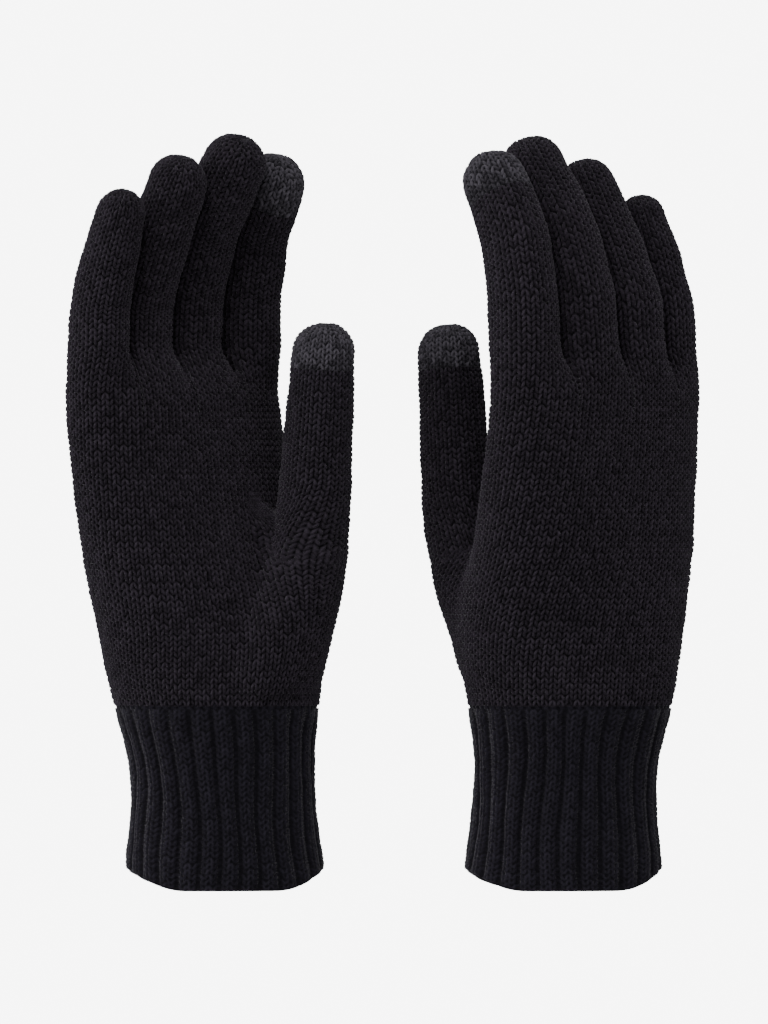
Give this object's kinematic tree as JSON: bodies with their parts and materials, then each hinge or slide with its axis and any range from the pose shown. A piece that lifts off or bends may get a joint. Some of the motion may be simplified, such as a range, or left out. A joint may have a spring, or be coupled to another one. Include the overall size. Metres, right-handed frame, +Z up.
{
  "type": "touchscreen gloves",
  "caption": "Pair of black knitted gloves with long rib cuffs and grey conductive tips on thumb and index finger, standing on their hems; fingers, thumbs and wrists bend.",
  "frame": {"origin": "on the surface that the hems stand on, midway between the two gloves, at the centre of the pair's bounding box", "axes": "+Z up along the gloves to the fingertips, +X from the glove that shows its palm to the glove that shows its back, +Y away from the viewer; the first glove's palm faces -Y"},
  "size_m": [0.2098, 0.0828, 0.2499],
  "materials": {
    "hand_yarn": "black plain-knit wool-blend yarn, matt, slightly hairy",
    "rib_yarn": "black ribbed knit, matt, slightly hairy",
    "touch_yarn": "grey marl conductive yarn in plain knit"
  },
  "bodies": {
    "glove_a_cuff": {"glove_a_cuff_band": "rib_yarn"},
    "glove_a_palm": {"glove_a_wrist_band": "rib_yarn", "glove_a_linking_seam": "rib_yarn", "glove_a_hand_heel": "hand_yarn", "glove_a_hand_palm": "hand_yarn", "glove_a_hand_knuckles": "hand_yarn"},
    "glove_a_index_base_part": {"glove_a_index_base": "hand_yarn"},
    "glove_a_index_middle_part": {"glove_a_index_middle": "hand_yarn"},
    "glove_a_index_end_part": {"glove_a_index_end": "hand_yarn", "glove_a_index_touch_tip": "touch_yarn"},
    "glove_a_middle_base_part": {"glove_a_middle_base": "hand_yarn"},
    "glove_a_middle_middle_part": {"glove_a_middle_middle": "hand_yarn"},
    "glove_a_middle_end_part": {"glove_a_middle_end": "hand_yarn"},
    "glove_a_ring_base_part": {"glove_a_ring_base": "hand_yarn"},
    "glove_a_ring_middle_part": {"glove_a_ring_middle": "hand_yarn"},
    "glove_a_ring_end_part": {"glove_a_ring_end": "hand_yarn"},
    "glove_a_little_base_part": {"glove_a_little_base": "hand_yarn"},
    "glove_a_little_middle_part": {"glove_a_little_middle": "hand_yarn"},
    "glove_a_little_end_part": {"glove_a_little_end": "hand_yarn"},
    "glove_a_thumb_base_part": {"glove_a_thumb_base": "hand_yarn"},
    "glove_a_thumb_end_part": {"glove_a_thumb_end": "hand_yarn", "glove_a_thumb_touch_tip": "touch_yarn"},
    "glove_b_cuff": {"glove_b_cuff_band": "rib_yarn"},
    "glove_b_palm": {"glove_b_wrist_band": "rib_yarn", "glove_b_linking_seam": "rib_yarn", "glove_b_hand_heel": "hand_yarn", "glove_b_hand_palm": "hand_yarn", "glove_b_hand_knuckles": "hand_yarn"},
    "glove_b_index_base_part": {"glove_b_index_base": "hand_yarn"},
    "glove_b_index_middle_part": {"glove_b_index_middle": "hand_yarn"},
    "glove_b_index_end_part": {"glove_b_index_end": "hand_yarn", "glove_b_index_touch_tip": "touch_yarn"},
    "glove_b_middle_base_part": {"glove_b_middle_base": "hand_yarn"},
    "glove_b_middle_middle_part": {"glove_b_middle_middle": "hand_yarn"},
    "glove_b_middle_end_part": {"glove_b_middle_end": "hand_yarn"},
    "glove_b_ring_base_part": {"glove_b_ring_base": "hand_yarn"},
    "glove_b_ring_middle_part": {"glove_b_ring_middle": "hand_yarn"},
    "glove_b_ring_end_part": {"glove_b_ring_end": "hand_yarn"},
    "glove_b_little_base_part": {"glove_b_little_base": "hand_yarn"},
    "glove_b_little_middle_part": {"glove_b_little_middle": "hand_yarn"},
    "glove_b_little_end_part": {"glove_b_little_end": "hand_yarn"},
    "glove_b_thumb_base_part": {"glove_b_thumb_base": "hand_yarn"},
    "glove_b_thumb_end_part": {"glove_b_thumb_end": "hand_yarn", "glove_b_thumb_touch_tip": "touch_yarn"}
  },
  "joints": [
    {"name": "glove_a_wrist_bend", "type": "hinge", "parent": "glove_a_cuff", "child": "glove_a_palm", "pos_m": [-0.05426, 0, 0.046], "axis": [0.9945, 0.1045, 0], "range_deg": [-20, 20]},
    {"name": "glove_a_index_root_bend", "type": "hinge", "parent": "glove_a_palm", "child": "glove_a_index_base_part", "pos_m": [-0.04614, 0.0213, 0.18], "axis": [0.7547, 0.6561, 0], "range_deg": [-10, 45]},
    {"name": "glove_a_index_middle_bend", "type": "hinge", "parent": "glove_a_index_base_part", "child": "glove_a_index_middle_part", "pos_m": [-0.04575, 0.02085, 0.19699], "axis": [0.7547, 0.6561, 0], "range_deg": [-10, 50]},
    {"name": "glove_a_index_end_bend", "type": "hinge", "parent": "glove_a_index_middle_part", "child": "glove_a_index_end_part", "pos_m": [-0.04281, 0.01747, 0.21802], "axis": [0.7547, 0.6561, 0], "range_deg": [-5, 25]},
    {"name": "glove_a_middle_root_bend", "type": "hinge", "parent": "glove_a_palm", "child": "glove_a_middle_base_part", "pos_m": [-0.06601, 0.00879, 0.18], "axis": [0.7547, 0.6561, 0], "range_deg": [-10, 45]},
    {"name": "glove_a_middle_middle_bend", "type": "hinge", "parent": "glove_a_middle_base_part", "child": "glove_a_middle_middle_part", "pos_m": [-0.06477, 0.00737, 0.1979], "axis": [0.7547, 0.6561, 0], "range_deg": [-10, 50]},
    {"name": "glove_a_middle_end_bend", "type": "hinge", "parent": "glove_a_middle_middle_part", "child": "glove_a_middle_end_part", "pos_m": [-0.05948, 0.00129, 0.21891], "axis": [0.7547, 0.6561, 0], "range_deg": [-5, 25]},
    {"name": "glove_a_ring_root_bend", "type": "hinge", "parent": "glove_a_palm", "child": "glove_a_ring_base_part", "pos_m": [-0.08191, -0.00675, 0.18], "axis": [0.7547, 0.6561, 0], "range_deg": [-10, 45]},
    {"name": "glove_a_ring_middle_bend", "type": "hinge", "parent": "glove_a_ring_base_part", "child": "glove_a_ring_middle_part", "pos_m": [-0.08122, -0.00754, 0.19496], "axis": [0.7547, 0.6561, 0], "range_deg": [-10, 50]},
    {"name": "glove_a_ring_end_bend", "type": "hinge", "parent": "glove_a_ring_middle_part", "child": "glove_a_ring_end_part", "pos_m": [-0.0749, -0.01482, 0.21474], "axis": [0.7547, 0.6561, 0], "range_deg": [-5, 25]},
    {"name": "glove_a_little_root_bend", "type": "hinge", "parent": "glove_a_palm", "child": "glove_a_little_base_part", "pos_m": [-0.0942, -0.02447, 0.178], "axis": [0.7547, 0.6561, 0], "range_deg": [-10, 45]},
    {"name": "glove_a_little_middle_bend", "type": "hinge", "parent": "glove_a_little_base_part", "child": "glove_a_little_middle_part", "pos_m": [-0.09388, -0.02483, 0.19199], "axis": [0.7547, 0.6561, 0], "range_deg": [-10, 50]},
    {"name": "glove_a_little_end_bend", "type": "hinge", "parent": "glove_a_little_middle_part", "child": "glove_a_little_end_part", "pos_m": [-0.09044, -0.0288, 0.20816], "axis": [0.7547, 0.6561, 0], "range_deg": [-5, 25]},
    {"name": "glove_a_thumb_root_swing", "type": "hinge", "parent": "glove_a_palm", "child": "glove_a_thumb_base_part", "pos_m": [-0.023, -0.009, 0.128], "axis": [-0.9982, 0, 0.0599], "range_deg": [-15, 35]},
    {"name": "glove_a_thumb_end_bend", "type": "hinge", "parent": "glove_a_thumb_base_part", "child": "glove_a_thumb_end_part", "pos_m": [-0.02097, -0.01137, 0.16186], "axis": [-0.9982, 0, 0.0599], "range_deg": [-45, 5]},
    {"name": "glove_b_wrist_bend", "type": "hinge", "parent": "glove_b_cuff", "child": "glove_b_palm", "pos_m": [0.06075, 0, 0.046], "axis": [-0.9945, -0.1045, 0], "range_deg": [-20, 20]},
    {"name": "glove_b_index_root_bend", "type": "hinge", "parent": "glove_b_palm", "child": "glove_b_index_base_part", "pos_m": [0.04614, -0.0213, 0.18], "axis": [-0.7547, -0.6561, 0], "range_deg": [-10, 45]},
    {"name": "glove_b_index_middle_bend", "type": "hinge", "parent": "glove_b_index_base_part", "child": "glove_b_index_middle_part", "pos_m": [0.04575, -0.02085, 0.19699], "axis": [-0.7547, -0.6561, 0], "range_deg": [-10, 50]},
    {"name": "glove_b_index_end_bend", "type": "hinge", "parent": "glove_b_index_middle_part", "child": "glove_b_index_end_part", "pos_m": [0.04281, -0.01747, 0.21802], "axis": [-0.7547, -0.6561, 0], "range_deg": [-5, 25]},
    {"name": "glove_b_middle_root_bend", "type": "hinge", "parent": "glove_b_palm", "child": "glove_b_middle_base_part", "pos_m": [0.06601, -0.00879, 0.18], "axis": [-0.7547, -0.6561, 0], "range_deg": [-10, 45]},
    {"name": "glove_b_middle_middle_bend", "type": "hinge", "parent": "glove_b_middle_base_part", "child": "glove_b_middle_middle_part", "pos_m": [0.06477, -0.00737, 0.1979], "axis": [-0.7547, -0.6561, 0], "range_deg": [-10, 50]},
    {"name": "glove_b_middle_end_bend", "type": "hinge", "parent": "glove_b_middle_middle_part", "child": "glove_b_middle_end_part", "pos_m": [0.05948, -0.00129, 0.21891], "axis": [-0.7547, -0.6561, 0], "range_deg": [-5, 25]},
    {"name": "glove_b_ring_root_bend", "type": "hinge", "parent": "glove_b_palm", "child": "glove_b_ring_base_part", "pos_m": [0.08191, 0.00675, 0.18], "axis": [-0.7547, -0.6561, 0], "range_deg": [-10, 45]},
    {"name": "glove_b_ring_middle_bend", "type": "hinge", "parent": "glove_b_ring_base_part", "child": "glove_b_ring_middle_part", "pos_m": [0.08122, 0.00754, 0.19496], "axis": [-0.7547, -0.6561, 0], "range_deg": [-10, 50]},
    {"name": "glove_b_ring_end_bend", "type": "hinge", "parent": "glove_b_ring_middle_part", "child": "glove_b_ring_end_part", "pos_m": [0.0749, 0.01482, 0.21474], "axis": [-0.7547, -0.6561, 0], "range_deg": [-5, 25]},
    {"name": "glove_b_little_root_bend", "type": "hinge", "parent": "glove_b_palm", "child": "glove_b_little_base_part", "pos_m": [0.0942, 0.02447, 0.178], "axis": [-0.7547, -0.6561, 0], "range_deg": [-10, 45]},
    {"name": "glove_b_little_middle_bend", "type": "hinge", "parent": "glove_b_little_base_part", "child": "glove_b_little_middle_part", "pos_m": [0.09388, 0.02483, 0.19199], "axis": [-0.7547, -0.6561, 0], "range_deg": [-10, 50]},
    {"name": "glove_b_little_end_bend", "type": "hinge", "parent": "glove_b_little_middle_part", "child": "glove_b_little_end_part", "pos_m": [0.09044, 0.0288, 0.20816], "axis": [-0.7547, -0.6561, 0], "range_deg": [-5, 25]},
    {"name": "glove_b_thumb_root_swing", "type": "hinge", "parent": "glove_b_palm", "child": "glove_b_thumb_base_part", "pos_m": [0.02443, 0.009, 0.128], "axis": [0.9982, 0, 0.0599], "range_deg": [-15, 35]},
    {"name": "glove_b_thumb_end_bend", "type": "hinge", "parent": "glove_b_thumb_base_part", "child": "glove_b_thumb_end_part", "pos_m": [0.0224, 0.01137, 0.16186], "axis": [0.9982, 0, 0.0599], "range_deg": [-45, 5]},
    {"name": "glove_spacing", "type": "slide", "parent": "glove_a_cuff", "child": "glove_b_cuff", "axis": [1, 0, 0], "range_m": [0, 0.12]}
  ],
  "couplings": [
    {"joint": "glove_a_index_end_bend", "follows": "glove_a_index_middle_bend", "ratio": 0.5},
    {"joint": "glove_a_middle_end_bend", "follows": "glove_a_middle_middle_bend", "ratio": 0.5},
    {"joint": "glove_a_ring_end_bend", "follows": "glove_a_ring_middle_bend", "ratio": 0.5},
    {"joint": "glove_a_little_end_bend", "follows": "glove_a_little_middle_bend", "ratio": 0.5},
    {"joint": "glove_b_index_end_bend", "follows": "glove_b_index_middle_bend", "ratio": 0.5},
    {"joint": "glove_b_middle_end_bend", "follows": "glove_b_middle_middle_bend", "ratio": 0.5},
    {"joint": "glove_b_ring_end_bend", "follows": "glove_b_ring_middle_bend", "ratio": 0.5},
    {"joint": "glove_b_little_end_bend", "follows": "glove_b_little_middle_bend", "ratio": 0.5}
  ]
}
